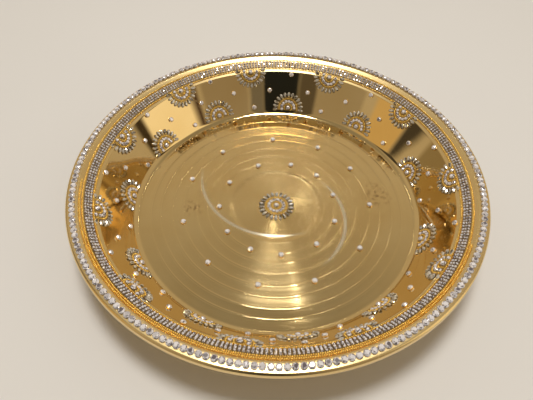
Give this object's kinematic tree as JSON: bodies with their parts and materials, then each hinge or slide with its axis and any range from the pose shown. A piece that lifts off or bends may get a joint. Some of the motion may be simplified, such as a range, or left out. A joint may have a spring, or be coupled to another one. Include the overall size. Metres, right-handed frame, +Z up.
{
  "type": "decorated brass tray",
  "caption": "Round brass tray with a flat floor, a sloping wall and a wide rim, trimmed with crystal chains, gold ball chains, stone rosettes and single crystals.",
  "frame": {"origin": "on the tray's axis, in the plane that it stands on", "axes": "+Z up out of the open side of the dish, -Y towards the front of the tray, where the second outer ball chain is, +X to the right seen from the front"},
  "size_m": [0.28, 0.28, 0.0413],
  "materials": {
    "polished_brass": "turned and polished, mirror bright on the wall and fine concentric brush marks on the floor",
    "gold_beads": "gold plated, bright",
    "rim_crystals": "faceted, clear, foil backed",
    "band_crystals": "faceted, clear, foil backed",
    "rosette_stones": "faceted, clear, foil backed, with gold beads between the rings of stones",
    "single_crystals": "faceted, clear, foil backed"
  },
  "bodies": {
    "root": {"tray_body": "polished_brass", "rim_crystal_chain": "rim_crystals", "crystal_banding": "band_crystals", "outer_ball_chain": "gold_beads", "front_ball_chain": "gold_beads", "inner_ball_chain": "gold_beads", "centre_rosette": "rosette_stones", "upper_rosette_01": "rosette_stones", "upper_rosette_02": "rosette_stones", "upper_rosette_03": "rosette_stones", "upper_rosette_04": "rosette_stones", "upper_rosette_05": "rosette_stones", "upper_rosette_06": "rosette_stones", "upper_rosette_07": "rosette_stones", "upper_rosette_08": "rosette_stones", "upper_rosette_09": "rosette_stones", "upper_rosette_10": "rosette_stones", "upper_rosette_11": "rosette_stones", "lower_rosette_01": "rosette_stones", "lower_rosette_02": "rosette_stones", "lower_rosette_03": "rosette_stones", "lower_rosette_04": "rosette_stones", "lower_rosette_05": "rosette_stones", "lower_rosette_06": "rosette_stones", "lower_rosette_07": "rosette_stones", "lower_rosette_08": "rosette_stones", "lower_rosette_09": "rosette_stones", "lower_rosette_10": "rosette_stones", "lower_rosette_11": "rosette_stones", "floor_crystal_01": "single_crystals", "floor_crystal_02": "single_crystals", "floor_crystal_03": "single_crystals", "floor_crystal_04": "single_crystals", "floor_crystal_05": "single_crystals", "floor_crystal_06": "single_crystals", "floor_crystal_07": "single_crystals", "floor_crystal_08": "single_crystals", "floor_crystal_09": "single_crystals", "floor_crystal_10": "single_crystals", "floor_crystal_11": "single_crystals", "floor_crystal_12": "single_crystals", "floor_crystal_13": "single_crystals", "floor_crystal_14": "single_crystals", "floor_crystal_15": "single_crystals", "floor_crystal_16": "single_crystals", "floor_crystal_17": "single_crystals", "floor_crystal_18": "single_crystals", "floor_crystal_19": "single_crystals", "floor_crystal_20": "single_crystals", "floor_crystal_21": "single_crystals", "floor_crystal_22": "single_crystals"}
  },
  "joints": []
}
